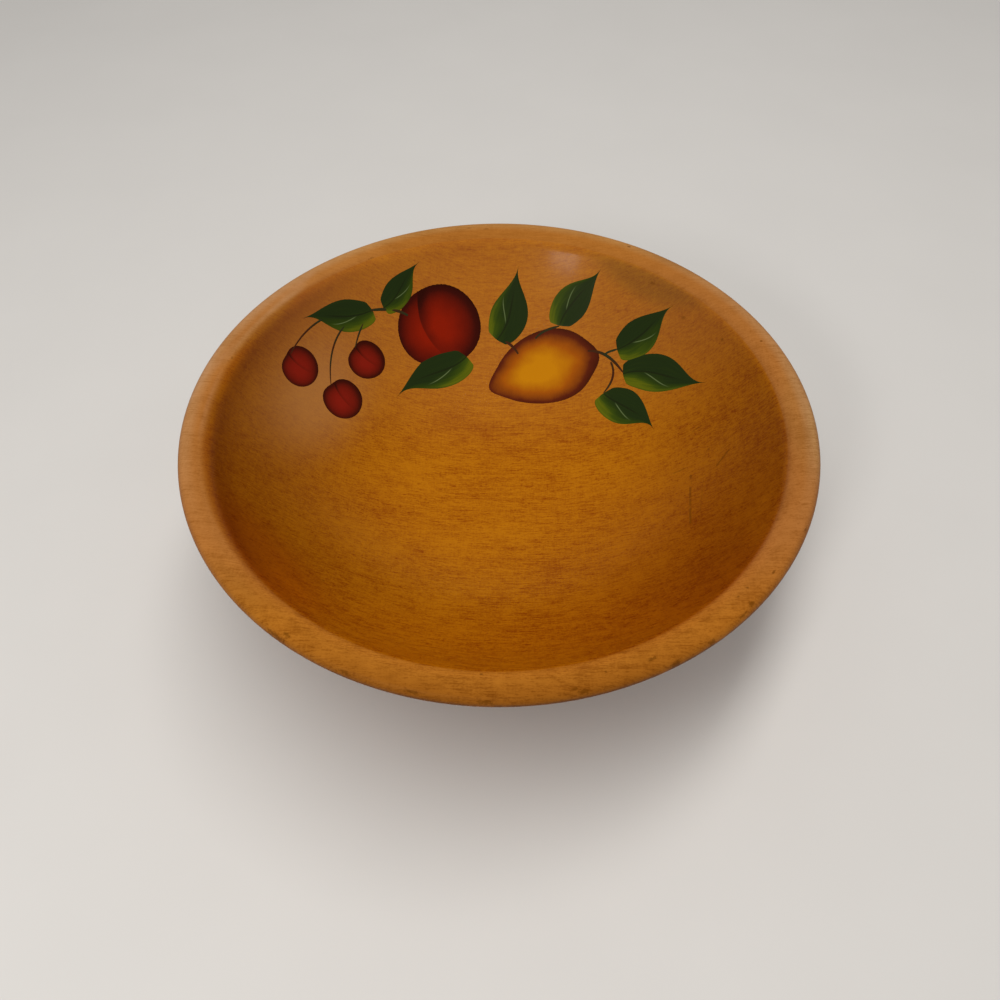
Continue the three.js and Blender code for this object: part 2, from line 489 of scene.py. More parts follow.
# %% The screw cutter
head_radius = 4 * MM
head_height = 2.8 * MM
screw_taper = 4 * MM
slot_width = 1 * MM
slot_depth = 1.4 * MM
slot_turn = math.radians(50)
thread_pitch = 1.6 * MM
thread_depth = 0.55 * MM
thread_start = foot_height - 6 * MM
thread_hollow = 1.6  # 1 cuts a plain V, and more leaves a broader crest
thread_share = 0.6  # the most of the radius that the thread may take at the point
screw_tip = foot_height + screw_bite


def screw_outline():
    head = arc((0, counterbore_depth), head_radius, head_height, -90, 0, steps=18)
    head[0].x = 0
    under_head = line(head[-1], (screw_radius, counterbore_depth), steps=2)[1:]
    shank = line(under_head[-1], (screw_radius, screw_tip - screw_taper), steps=110)[1:]
    return head + under_head + shank + line(shank[-1], (0, screw_tip), steps=28)[1:]


def build_screw_cutter():
    inputs = {"Pitch": ("Float", 0.0), "Depth": ("Float", 0.0), "Start": ("Float", 0.0)}
    inputs |= {"Turn": ("Vector", (0, 0, 0)), "Stands At": ("Vector", (0, 0, 0))}
    inputs |= {"Material": ("Material", None)}
    bench, given = geometry_tree("Screw cutter", **inputs)
    x, y, z = bench.split(bench.add("GeometryNodeInputPosition"))
    turns = z / given["Pitch"] - bench.maths("ARCTAN2", y, x) / math.tau
    groove = bench.maths("PINGPONG", turns, 0.5) * 2
    radius = bench.length(x, y)
    begun = bench.between(z, given["Start"], given["Start"] + given["Pitch"])
    deep = groove ** thread_hollow * given["Depth"] * begun
    deep = bench.maths("MINIMUM", deep, radius * thread_share)
    share = (radius - deep) / bench.maths("MAXIMUM", radius, 0.01 * MM)
    threaded = {"Geometry": given["Geometry"], "Position": bench.join(x * share, y * share, z)}
    cut = bench.add("GeometryNodeSetPosition", None, threaded)
    slot_size = (3 * head_radius, slot_width, 2 * slot_depth)
    box = bench.add("GeometryNodeMeshCube", None, {"Size": slot_size})
    lowered = {"Geometry": box, "Translation": (0, 0, counterbore_depth - head_height)}
    box = bench.add("GeometryNodeTransform", None, lowered)
    settings = {"operation": "DIFFERENCE", "solver": "EXACT"}
    slotted = bench.add("GeometryNodeMeshBoolean", settings, {"Mesh 1": cut, "Mesh 2": box})
    slotted = store(bench, slotted, "on_lathe", bench.add("GeometryNodeInputPosition"))
    placed = {"Geometry": slotted, "Translation": given["Stands At"], "Rotation": given["Turn"]}
    return end_tree(bench, bench.add("GeometryNodeTransform", None, placed), given["Material"])


screw_cutter = build_screw_cutter()
screws = []
for number, place in enumerate(foot_places, 1):
    blank = make_piece("screw_blank", outline_mesh("screw_outline", screw_outline()), lathe, Facets=48)
    cut = {"Pitch": thread_pitch, "Depth": thread_depth, "Start": thread_start}
    cut |= {"Turn": (0, 0, number * slot_turn), "Stands At": Vector((place.x, place.y, 0))}
    screws.append(finish_edges(make_piece(f"wood_screw_{number}", blank.data, screw_cutter, **cut)))
    bpy.data.objects.remove(blank)

# %% [markdown]
# ## Wood, layer by layer
# Wood looks like wood because its parts are long in one direction. Every layer below is a 3-D noise
# that is stretched along the fibres, so one rule gives dashes on the flat of the board and dots on the
# end grain, as real wood does, and the pattern goes through the piece without a seam. The layers are:
# growth rings, which are thin shells round the middle of the tree; fibres, long ones, short ones and
# ones as fine as grit; faint rays, which run across them; flecks, which are single dark cells of a
# Voronoi noise; and a mottle and a slow cloud where the varnish soaked in unevenly.

# %% Shader helpers
def start_material(name):
    material = bpy.data.materials.new(name)
    material.use_nodes = True
    material.node_tree.nodes.clear()
    return material, Bench(material.node_tree)


def end_material(bench, sockets):
    """Ends a material in the one kind of shader that every finish here uses."""
    shader = bench.add("ShaderNodeBsdfPrincipled", None, sockets)
    output = bench.tree.nodes.new("ShaderNodeOutputMaterial")
    bench.give(output.inputs["Surface"], shader)


def own_place(bench):
    """A point's place in millimetres, in the object's own coordinates."""
    place = bench.add("ShaderNodeTexCoord")["Object"]
    return bench.vector("DIVIDE", place, (MM, MM, MM))


def stored(bench, label):
    """The three parts of a vector that a tree stored with the points."""
    return bench.split(bench.add("ShaderNodeAttribute", {"attribute_name": label})["Vector"])


def noise(bench, place, size, detail=2.0, roughness=0.5):
    """Noise from 0 to 1 whose features are about as large as size, given in the units of the place."""
    sockets = {"Vector": place, "Scale": 1 / size, "Detail": detail, "Roughness": roughness}
    return bench.add("ShaderNodeTexNoise", None, sockets)


def flecks(bench, place, share, size):
    """Single dark cells: a share of the cells holds one fleck, of a size given as a share of the cell."""
    cell = bench.add("ShaderNodeTexVoronoi", None, {"Vector": place, "Scale": 1.0})
    chosen = bench.maths("GREATER_THAN", bench.split(cell["Color"])[0], 1 - share)
    return bench.between(cell, size, size * 0.4) * chosen


def bump(bench, height, strength, depth):
    """Relief that is too small for the mesh. Its depth is in millimetres."""
    sockets = {"Height": height, "Strength": strength, "Distance": depth * MM}
    return bench.add("ShaderNodeBump", None, sockets)


# %% The grain of a board
def grain(bench, along, across, up, pith, ring_width):
    """Height, darkness and mottle of wood whose fibres run along. The pith is the middle of the tree."""
    across = across + noise(bench, bench.join(along * 0.25, across, up), 60, 2) * 10
    wood = bench.join(along, across, up)

    def layer(stretch, size, detail=2.0, roughness=0.5):
        """Noise that is the longer in a direction, the smaller its share of the stretch."""
        return noise(bench, bench.vector("MULTIPLY", wood, stretch), size, detail, roughness)

    def dots(cell, share, size):
        """Flecks in cells of the given length, width and height."""
        return flecks(bench, bench.vector("DIVIDE", wood, cell), share, size)

    rings = bench.length(across - pith[0], up - pith[1]) / ring_width + layer((0.3, 1, 1), 30, 1) * 2
    late_wood = bench.between(bench.maths("FRACT", rings), 0.35, 0.95) * layer((0.3, 1, 1), 24, 1)
    fibres = layer((0.045, 1, 0.2), 0.9, 3, 0.65)
    short = layer((0.17, 1, 0.3), 0.7, 2, 0.7)
    grit = layer((0.4, 1, 1), 0.5, 2, 0.7)
    rays = layer((1, 0.12, 0.12), 0.8, 2, 0.6)
    mottle = layer((0.5, 1, 1), 6, 3)
    cloud = layer((0.6, 1, 1), 38)
    marks = dots((7, 0.8, 0.8), 0.05, 0.55) * 0.35
    marks = marks + dots((2.2, 0.7, 0.7), 0.03, 0.6) * 0.35 + dots((26, 0.6, 1.5), 0.02, 0.55) * 0.5
    dark = late_wood * 0.12 + marks
    weights = ((fibres, 1.15), (short, 1.5), (grit, 1.4), (rays, 0.5), (mottle, 0.7), (cloud, 0.7))
    for part, weight in weights:
        dark = dark + (part - 0.5) * weight
    return fibres + short * 0.5 + rays * 0.3 - marks, dark, mottle


def turn_about_z(bench, place, angle):
    settings = {"rotation_type": "Z_AXIS"}
    return bench.add("ShaderNodeVectorRotate", settings, {"Vector": place, "Angle": angle})


# %% [markdown]
# ## The zones of the bowl
# The varnish isn't the same all over: it is amber inside and a paler, duller tan on the rim. The outside
# is given a tone between the two. So the finish first has to know where on the bowl a point lies. The
# class below works that out once from the point's own place, as shares from 0 to 1 that are multiplied
# into the tones later: on the rim, on the inside wall, or anywhere within the bowl. A point is within if
# it lies close under the inside surface, which is found by the formula that gave the bowl its outline.
#
# The numbers are millimetres on the real bowl, seen from above: the rim begins 150 mm from the axis and
# ends at 165 mm, x points to the right and y to the back.

# %% A spot on the bowl
class BowlSpot:
    """Where on the bowl a point is, in millimetres, and its share of each zone."""

    def __init__(self, bench):
        self.bench = bench
        self.place = own_place(bench)
        self.x, self.y, self.z = bench.split(self.place)
        self.radius = bench.length(self.x, self.y)  # its distance from the axis
        self.fall = rim_height / MM - self.z  # how far it lies below the rim's crest
        rise = (self.radius / (inside_radius / MM)) ** inside_power * ((inside_depth - rim_fall) / MM)
        surface = bench.maths("MINIMUM", rise + floor_height / MM, (rim_height - rim_fall) / MM)
        self.within = 1 - bench.between(surface - self.z, 3, 7)
        # The line between tan and amber lies a little off the axis, and it is soft at the left.
        self.edge = bench.length(self.x + 1.0, self.y - 0.6)
        softer = bench.between(self.x, -90, -150)
        self.on_rim = bench.between(self.edge, 149.5 - softer, 150.6 + softer * 3) * self.within
        self.on_wall = self.within - self.on_rim
        self.inside = bench.between(self.radius, 151, 148) * self.within

    def patch(self, angle, distance, length, width):
        """0 in the middle of a patch that lies along the rim, and 1 at its edge."""
        cosine, sine = math.cos(math.radians(angle)), math.sin(math.radians(angle))
        out = (self.x * cosine + self.y * sine - distance) * (2 / width)
        along = (self.y * cosine - self.x * sine) * (2 / length)
        return self.bench.length(out, along)

    def nearest(self, patches):
        """0 in the middle of the nearest of several patches, and 1 at its edge."""
        found = self.patch(*patches[0])
        for other in patches[1:]:
            found = self.bench.maths("MINIMUM", found, self.patch(*other))
        return found

    def hairline(self, start, end, width):
        """1 on a thin line between two points seen from above, and 0 beside it."""
        run = Vector(end) - Vector(start)
        across, deep = self.x - start[0], self.y - start[1]
        share = (across * run.x + deep * run.y) / run.length_squared
        share = self.bench.maths("MINIMUM", self.bench.maths("MAXIMUM", share, 0), 1)
        beside = self.bench.length(across - share * run.x, deep - share * run.y)
        return self.bench.between(beside, width, width * 0.3)


# %% [markdown]
# ## Tones of the varnish
# Where the grain is dark the varnish is deep, and where it is light the varnish is pale, so each zone
# has a pale and a deep colour, and the grain's darkness mixes the two. Over that lie broad soft tints.
# Each is a pair of a share and a tone: the colour is multiplied by the tone as far as the share goes.
# Multiplying keeps the grain, where mixing in a colour would cover it. Some tints are told by a patch:
# its angle round the bowl, its distance from the axis, its length along the rim and its width. They
# were set by comparing renders with a photograph one region at a time, and a few of them are painted
# shade and light for the way that daylight falls into the bowl: deeper on the near left wall, paler on the
# far left one.

# %% The varnish's colours
pale_amber, deep_amber = (0.40, 0.137, 0.0025), (0.205, 0.038, 0.0)
pale_tan, deep_tan = (0.375, 0.143, 0.031), (0.215, 0.067, 0.007)
# A paler amber for the painted sheen on the far left wall.
sheen_amber = (0.37, 0.165, 0.05)
# A painted sheen, added over the far wall.
far_wall_sheen = (0.011, 0.011, 0.009)
# The tone of dirt, also used for the painted shade under the rim.
dirt_and_rim_shade = (0.105, 0.030, 0.0)


def varnish(bench, spot, dark, worn):
    """Amber on the wall, tan on the rim, and an even half of each on the outside."""
    # The grain stands out most on the near wall, and least towards the far side and the left.
    steep = bench.between(spot.y, -60, -130)
    calm = bench.between(spot.y, 20, 100) * 0.45 + bench.between(spot.x, -70, -130) * 0.2
    contrast = 1 + steep * 0.5 - calm
    share = bench.between((dark - 0.1) * contrast + 0.1, -0.45, 0.85)
    spots = (worn - 0.5) * (0.3 + steep * 0.6)
    amber = bench.mix(share, pale_amber, deep_amber)
    rim_tan = bench.mix(share * 0.75 + 0.1 + spots, pale_tan, deep_tan)
    return bench.mix(spot.on_rim + (1 - spot.within) * 0.5, amber, rim_tan)


# %% Tints of the wall and of the rim
# Angle, distance, length and width, and then the tone.
wall_patches = [
    # Painted shade: the near left wall is deeper, for the way daylight falls into the bowl.
    (-143, 143, 130, 60, (0.86, 0.66, 0.4)),
    # Painted shade on the far right wall under the rim.
    (52, 146, 120, 20, (0.74, 0.79, 0.9)),
    (-26, 144, 60, 20, (1.14, 1.22, 1.2)),
    (-134, 143, 50, 24, (1.13, 1.18, 1.0)),
    (-108, 144, 70, 24, (0.95, 0.88, 0.6)),
]
# These lie where the rim rolls over into the wall.
roll_patches = [
    (152, 151.5, 110, 10, (1.05, 1.26, 2.0)),
    (178, 151.5, 60, 8, (0.97, 1.06, 1.6)),
]
rim_patches = [
    # Painted light: the left rim is paler on the window's side.
    (135, 158, 230, 40, (1.08, 1.16, 1.4)),
    # Painted shade on the far right rim's outer edge.
    (50, 164, 95, 15, (0.82, 0.80, 0.75)),
    (-6, 163.5, 120, 10, (1.08, 1.16, 1.2)),
    # Painted light on the left rim's outer edge, which faces the window.
    (170, 163.5, 120, 10, (1.04, 1.13, 1.4)),
    (-2, 156, 110, 20, (0.94, 1.01, 1.08)),
    (-137, 161, 70, 13, (0.90, 0.91, 0.9)),
]


def patch_tints(bench, spot, patches, zone):
    """Each patch's tone holds in full at its middle and not at all at its edge."""
    return [(bench.between(spot.patch(*where), 1.0, 0.3) * zone, tone) for *where, tone in patches]


def wall_tints(bench, spot, worn):
    """End grain that drank the varnish, deepened inside as painted shade on the side walls; a darker,
    redder right side; painted shade under the roll; the near wall.
    """
    end_grain = stored(bench, "faces")[0] ** 2
    redder = bench.between(spot.patch(-39, 160, 300, 300) + (worn - 0.5) * 0.27, 1.0, 0.0)
    undercut = bench.between(spot.edge, 153, 149.5) * bench.between(spot.edge, 136, 148)
    return [
        # End grain takes the varnish darker. Its deepening inside is also painted shade on the left and
        # right walls.
        (end_grain * (0.3 + spot.inside * 0.55), (0.30, 0.20, 0.10)),
        (redder * (spot.on_rim * 0.15 + spot.inside * 0.8), (0.62, 0.40, 0.30)),
        # Painted shade on the left wall, just under the rim's roll.
        (undercut * bench.between(spot.x, -60, -130) * spot.within, (0.74, 0.62, 0.5)),
        (bench.between(spot.y, -60, -120) * spot.inside, (1.0, 0.88, 0.5)),
    ]


def rim_tints(bench, spot):
    """The far rim, then the near rim's outer turn, whole width and inner edge, then the rim's crest."""
    near_turn = bench.between(spot.y, -120, -162) * bench.between(spot.radius, 152, 165)
    near_inner = bench.between(spot.y, -50, -110) * bench.between(spot.radius, 156, 151)
    crest = bench.between(spot.radius, 155, 161) * bench.between(spot.radius, 165, 163.5)
    return [
        (bench.between(spot.y, 90, 150) * spot.on_rim, (1.02, 1.0, 0.75)),
        (near_turn * spot.within, (0.68, 0.63, 0.55)),
        (bench.between(spot.y, -75, -130) * spot.on_rim, (1.0, 0.93, 0.4)),
        (near_inner * spot.on_rim, (1.16, 1.13, 1.1)),
        (bench.between(spot.y, -90, 0) * crest * spot.within, (1.09, 1.36, 2.3)),
    ]


# %% [markdown]
# ## Where the bowl has been handled, and the shade under its rim
# A rim takes the knocks. Dirt and old varnish stay in each dent. The thin dark line where the rim's outer
# edge turns down is painted shade, broken up by noise. Each stain is told as a person would point at it,
# in
# the way that the patches are: by its angle, its distance from the axis, its length and its width. A
# little noise on the distance from its middle makes its edge ragged. The scratches are straight lines
# between two points, which the same kind of noise breaks up.

# %% Stains, scratches, and painted shade under the rim
# Angle, distance, length and width.
rim_stains = [
    (-28, 163.5, 4, 1.6), (-39, 160.5, 5, 1.4), (-44.5, 156, 2, 1.6), (-47, 156, 2, 1.2),
    (-46.5, 162.5, 4, 3), (-49, 163.5, 6, 1.6), (-56, 164.3, 6, 2), (-62.8, 164.5, 8, 2), (-66, 159, 6, 2),
    (-73.5, 157.5, 1.4, 1.4), (-77.5, 163.6, 6, 2.4), (-78.8, 162.2, 4, 1.6), (-92.8, 151.5, 1.8, 1.6),
    (-92, 164.2, 9, 1.6), (-102.8, 163.8, 10, 1.6), (-113.4, 164, 7, 1.8), (-124.5, 162, 6, 2.4),
    (-126, 164.4, 16, 1.6),
    (164.5, 152.8, 2.4, 1.6), (96.8, 158.8, 5, 1), (93, 157, 4, 1), (20, 156, 2, 1.6), (60, 160, 3, 1.6),
]
wall_stains = [
    (121.2, 151.5, 5, 1.2), (50.5, 146, 5, 1.6), (39, 141, 4, 2), (27, 144, 4, 1.4),
    (3.5, 118, 2, 1.6), (-137, 120, 3, 1.6), (1, 103, 1.4, 12), (12, 116, 1.2, 7),
]
# Start, end, width and depth.
scratches = [
    ((107.4, -4.7), (102.4, -40), 0.8, 0.9),
    ((126.5, 0), (119.8, -6.3), 0.7, 1.0),
    ((113, -10), (108, -34), 0.4, 0.3),
]


def use_marks_and_rim_shade(bench, spot, worn):
    """How dirty a point is, together with the painted shade under the rim's outer edge, from 0 to 1."""
    ragged = (noise(bench, spot.place, 1.2, 3, 0.7) - 0.5) * 2.4
    knocks = bench.between(spot.nearest(rim_stains) + ragged, 1.0, 0.3) * spot.on_rim
    stains = bench.between(spot.nearest(wall_stains) + ragged, 1.0, 0.3)
    lines = sum(spot.hairline(start, end, width) * depth for start, end, width, depth in scratches)
    lines = lines * bench.between(noise(bench, spot.place, 4), 0.3, 0.45)
    # Painted shade: a thin dark line just under the rim's outer edge, stronger towards the near right.
    turned_down = bench.between(spot.fall, 2.8, 3.8) * bench.between(spot.fall, 6.4, 5.6)
    rim_edge_shade = turned_down * bench.between(spot.radius, 160, 163) * bench.between(worn, 0.25, 0.5)
    rim_edge_shade = rim_edge_shade * (0.25 + bench.between(spot.x * 0.6 - spot.y, 20, 170) * 0.6)
    marks = knocks * 0.8 + (stains * 0.55 + lines * 0.8) * spot.within + rim_edge_shade
    return bench.maths("MINIMUM", marks, 1.0)


# %% [markdown]
# ## The bowl's finish
# The layers now come together in the order in which they came to be: the grain, the varnish over it, the
# tints, and last the dirt with the painted shade under the rim. Two of the tints can't be multiplied in,
# because they make the dark grain paler too: a slight painted sheen over the far wall and a paler painted
# sheen on its left. The fibres of the board run almost from left to right, with a turn of little more
# than a degree. The gloss is weak and warm, as old varnish is, and only the painted far wall has a thin
# clear coat over the wood.

# %% The bowl's wood
def bowl_wood():
    material, bench = start_material("varnished_maple")
    spot = BowlSpot(bench)
    along, across, up = bench.split(turn_about_z(bench, spot.place, math.radians(1.25)))
    relief, dark, mottle = grain(bench, along, across, up, pith=(24, -110), ring_width=3.6)
    worn = noise(bench, spot.place, 8, 3, 0.6)
    colour = varnish(bench, spot, dark, worn)
    tints = wall_tints(bench, spot, worn) + rim_tints(bench, spot)
    tints += patch_tints(bench, spot, wall_patches, spot.inside)
    tints += patch_tints(bench, spot, roll_patches, spot.within)
    tints += patch_tints(bench, spot, rim_patches, spot.on_rim)
    for share, tone in tints:
        colour = bench.mix(share, colour, tone, "MULTIPLY")
    # Painted sheen: a little pale grey is added over the far wall.
    far_sheen = bench.between(spot.y, 20, 110) * spot.on_wall
    colour = bench.mix(far_sheen, colour, far_wall_sheen, "ADD")
    # Painted sheen: the far left wall is mixed towards a paler amber.
    left_sheen = bench.between(spot.patch(156, 118, 165, 84), 1.0, 0.1) ** 2 * spot.on_wall
    colour = bench.mix(left_sheen * 0.55, colour, sheen_amber)
    # Dirt, wear and the painted shade under the rim, in one tone.
    marks = use_marks_and_rim_shade(bench, spot, worn)
    colour = bench.mix(marks * 0.8, colour, dirt_and_rim_shade)
    clear_coat = bench.between(spot.y, 40, 100) * spot.on_wall * 0.05
    sockets = {"Base Color": colour, "Roughness": 0.34 - mottle * 0.1 + spot.on_rim * 0.18}
    sockets |= {"Specular IOR Level": 0.08, "Specular Tint": (1.0, 0.8, 0.45)}
    sockets |= {"Coat Weight": clear_coat, "Coat Roughness": 0.12}
    sockets |= {"Normal": bump(bench, relief - marks * 2, 0.2, 0.1)}
    end_material(bench, sockets)
    return material


def install(piece, material, node):
    """Gives a piece its material, and puts it in the place of its construction node."""
    piece.data.materials.clear()
    piece.data.materials.append(material)
    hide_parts(node)
    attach(piece, "root")
    print(piece.name, "wears", material.name, "of", len(material.node_tree.nodes), "nodes")


install(bowl, bowl_wood(), "bowl")

# %% [markdown]
# ## The feet's wood and the screws' steel
# The feet were turned from rods of the same wood, so their fibres stand upright, and the same grain is
# used with its directions swapped. They stand at different places, so each cuts another part of the
# noise and gets a grain of its own. A lathe also leaves fine rings, and these need each foot's own
# axis: that is what the place on the lathe was stored for. The screws are zinc-plated steel gone dull.

# %% The feet's wood
pale_foot, deep_foot = (0.42, 0.155, 0.014), (0.21, 0.058, 0.004)
sole_dirt = (0.16, 0.075, 0.025)


def place_on_lathe(bench):
    """A point's distance from the axis of the lathe and its height there, in millimetres."""
    x, y, z = (part / MM for part in stored(bench, "on_lathe"))
    return bench.length(x, y), z


def foot_wood():
    material, bench = start_material("varnished_maple_foot")
    x, y, z = bench.split(own_place(bench))
    relief, dark, mottle = grain(bench, z, x, y, pith=(90, 60), ring_width=2.8)
    radius, height = place_on_lathe(bench)
    rings = noise(bench, bench.join(radius, height, 0.0), 0.8, 2)
    end_grain = stored(bench, "faces")[2] ** 2
    dark = dark + (rings - 0.5) * 0.3 + end_grain * 0.3
    colour = bench.mix(bench.between(dark, -0.35, 0.85), pale_foot, deep_foot)
    rubbed_sole = bench.between(height, 0.5, 0.1)
    colour = bench.mix(rubbed_sole * (0.4 + mottle), colour, sole_dirt)
    sockets = {"Base Color": colour, "Roughness": 0.45 + mottle * 0.1 + rubbed_sole * 0.25}
    sockets |= {"Specular IOR Level": 0.35, "Normal": bump(bench, relief + rings, 0.15, 0.1)}
    end_material(bench, sockets)
    return material


# %% The screws' steel
dull_zinc, tarnish_brown = (0.56, 0.54, 0.50), (0.20, 0.15, 0.10)


def screw_steel():
    material, bench = start_material("dull_zinc_steel")
    radius, height = place_on_lathe(bench)
    spots = noise(bench, own_place(bench), 1.6, 4, 0.65)
    tarnish = bench.between(spots, 0.52, 0.70)
    rings = noise(bench, bench.join(radius, height, 0.0), 0.25, 2)
    colour = bench.mix(tarnish, dull_zinc, tarnish_brown)
    sockets = {"Base Color": colour, "Metallic": 1 - tarnish * 0.5, "Roughness": 0.34 + tarnish * 0.3}
    sockets |= {"Normal": bump(bench, rings + spots * 0.5, 0.2, 0.05)}
    end_material(bench, sockets)
    return material


foot_finish = foot_wood()
screw_finish = screw_steel()
for number, (foot, screw) in enumerate(zip(feet, screws), 1):
    install(foot, foot_finish, f"foot_{number}")
    install(screw, screw_finish, f"foot_screw_{number}")

# %% [markdown]
# ## Paint on the wall
# The fruit was painted by hand on the varnished wood, each leaf with one loaded brush that carried dark
# green on one side and yellow green on the other. Paint is a film with a thickness of its own, so each
# stroke here is a thin closed solid whose underside lies just inside the wood. A stroke is planned on
# a small flat canvas and then laid on the wall: the canvas is curled round the bowl's axis, and its
# height follows the inside outline, found by its length from the rim with a Sample Curve node.
#
# Places on the wall are written as a painter would point at them: degrees to the right of the far
# middle, and millimetres down from the rim's inner edge.

# %% Places on the wall
def wall_radius(drop):
    """How far from the axis the wall is, at a distance down the wall from the rim."""
    left = drop
    for upper, lower in zip(inside_section, inside_section[1:]):
        step = (lower - upper).length
        if left <= step:
            return upper.lerp(lower, left / step).x
        left -= step
    return 0.0


def on_canvas(place, middle):
    """A place on the wall as a point of the flat canvas that touches the wall at the middle."""
    degrees, drop = place
    across = math.radians(degrees - middle[0]) * wall_radius(drop * MM)
    return Vector((across, (middle[1] - drop) * MM))


def centre_of(middle):
    return (math.radians(middle[0]), middle[1] * MM, 0.0)


def stroke(start, end, bow, width, coat, shade=0.0):
    """A stroke between two places. It bows to its left by two amounts, a third and two thirds along."""
    middle = ((start[0] + end[0]) / 2, (start[1] + end[1]) / 2)
    first, last = on_canvas(start, middle), on_canvas(end, middle)
    run = last - first
    left = Vector((-run.y, run.x)).normalized() * MM
    handles = [first + run * share + left * amount * 4 / 3 for share, amount in zip((1 / 3, 2 / 3), bow)]
    path = {"start": first, "first_handle": handles[0], "second_handle": handles[1], "end": last}
    path = {label: (*point, 0.0) for label, point in path.items()}
    return path | {"centre": centre_of(middle), "brush": (width * MM, coat * MM, shade)}


def fruit(middle, size, tilt, shape, coat, shade=0.0):
    """A filled round form. Its shape is how far its ends stick out, its top dips and its foot points."""
    size = (size[0] * MM / 2, size[1] * MM / 2, math.radians(tilt))
    return {"centre": centre_of(middle), "size": size, "shape": shape, "brush": (0.0, coat * MM, shade)}


def marks_mesh(name, marks):
    """A mesh with one point for each mark, which carries what the painter decided as attributes."""
    mesh = bpy.data.meshes.new(name)
    mesh.from_pydata([(0, 0, 0)] * len(marks), [], [])
    for label in marks[0]:
        attribute = mesh.attributes.new(label, "FLOAT_VECTOR", "POINT")
        attribute.data.foreach_set("vector", [part for mark in marks for part in mark[label]])
    return mesh


wall_line = bpy.data.objects.new("wall_line", outline_mesh("wall_line", inside_section))
bpy.context.scene.collection.objects.link(wall_line)
wall_length = sum((lower - upper).length for upper, lower in zip(inside_section, inside_section[1:]))
print("the wall is", round(wall_length / MM, 1), "mm long")

# %% [markdown]
# ## Two painting trees
# Both trees start alike: a flat box of many small faces is set on every mark and made real, and each
# of its points then knows both its own place in the box and what its mark says. The brush tree takes
# a Bezier curve, written out as its four weights, and lets the width swell and taper along it. The
# stamp tree turns the square box into a disc without a pole, and then pushes its outline into the
# form of a fruit. Both end on the same two steps: lay on the wall, and merge where points meet.

# %% What both painting trees share
def named(bench, label):
    kind = {"data_type": "FLOAT_VECTOR"}
    return bench.split(bench.add("GeometryNodeInputNamedAttribute", kind, {"Name": label}))


def boxes_on_marks(bench, marks, across, along):
    """A flat box of small faces on each mark. Its points store where in it they are, from -1 to 1."""
    counts = {"Vertices X": across, "Vertices Y": along, "Vertices Z": 2}
    box = bench.add("GeometryNodeMeshCube", None, {"Size": (2, 2, 2), **counts})
    box = store(bench, box, "canvas", bench.add("GeometryNodeInputPosition"))
    points = bench.add("GeometryNodeMeshToPoints", None, {"Mesh": marks})
    set_out = bench.add("GeometryNodeInstanceOnPoints", None, {"Points": points, "Instance": box})
    return bench.add("GeometryNodeRealizeInstances", None, {"Geometry": set_out})


def lay_on_wall(bench, boxes, wall, across, up, raised, material):
    """Moves each point from its canvas to the wall. Raised is 1 on top of the film and 0 at its edges."""
    degrees, drop, _ = named(bench, "centre")
    _, coat, _ = named(bench, "brush")
    sunk = 0.03 * MM
    top = bench.maths("GREATER_THAN", named(bench, "canvas")[2], 0.0)
    lift = top * raised * (coat + sunk) - sunk
    line = bench.add("GeometryNodeObjectInfo", None, {"Object": wall})["Geometry"]
    line = bench.add("GeometryNodeMeshToCurve", None, {"Mesh": line})
    wanted = {"Curves": line, "Length": drop - up}
    found = bench.add("GeometryNodeSampleCurve", {"mode": "LENGTH"}, wanted)
    radius, _, height = bench.split(found["Position"])
    inwards, _, downwards = bench.split(found["Tangent"])
    turn = math.pi / 2 - (degrees + across / radius)
    reach = radius + lift * downwards
    x, y = reach * bench.maths("COSINE", turn), reach * bench.maths("SINE", turn)
    place = bench.join(x, y, height - lift * inwards)
    laid = bench.add("GeometryNodeSetPosition", None, {"Geometry": boxes, "Position": place})
    merged = bench.add("GeometryNodeMergeByDistance", None, {"Geometry": laid, "Distance": 0.002 * MM})
    return end_tree(bench, merged, material)


# %% The brush tree
def build_brush():
    inputs = {"Wall": ("Object", None), "Across": ("Int", 9), "Along": ("Int", 48)}
    inputs |= {"Widest At": ("Float", 0.5), "Taper": ("Float", 1.0), "Material": ("Material", None)}
    bench, given = geometry_tree("Brush", **inputs)
    boxes = boxes_on_marks(bench, given["Geometry"], given["Across"], given["Along"])
    side, along, _ = named(bench, "canvas")
    t = along * 0.5 + 0.5
    rest = 1 - t
    corners = [named(bench, label) for label in ("start", "first_handle", "second_handle", "end")]
    weights = (rest ** 3, 3 * t * rest ** 2, 3 * t ** 2 * rest, t ** 3)
    slopes = (-3 * rest ** 2, 3 * rest ** 2 - 6 * t * rest, 6 * t * rest - 3 * t ** 2, 3 * t ** 2)

    def blended(shares, axis):
        return sum(share * corner[axis] for share, corner in zip(shares, corners))

    x, y = blended(weights, 0), blended(weights, 1)
    ahead_x, ahead_y = blended(slopes, 0), blended(slopes, 1)
    length = bench.length(ahead_x, ahead_y)
    width, _, _ = named(bench, "brush")
    skew = math.log(0.5) / bench.maths("LOGARITHM", given["Widest At"], math.e)
    swell = bench.maths("SINE", bench.maths("MINIMUM", t, 1.0) ** skew * math.pi)
    reach = side * width * 0.5 * bench.maths("MAXIMUM", swell, 0.0) ** (given["Taper"] * (t * 1.5 + 0.35))
    ends = bench.between(t, 0.0, 0.03) * bench.between(t, 1.0, 0.97)
    raised = (1 - side ** 4) * ends
    across, up = x + reach * ahead_y / length, y - reach * ahead_x / length
    return lay_on_wall(bench, boxes, given["Wall"], across, up, raised, given["Material"])


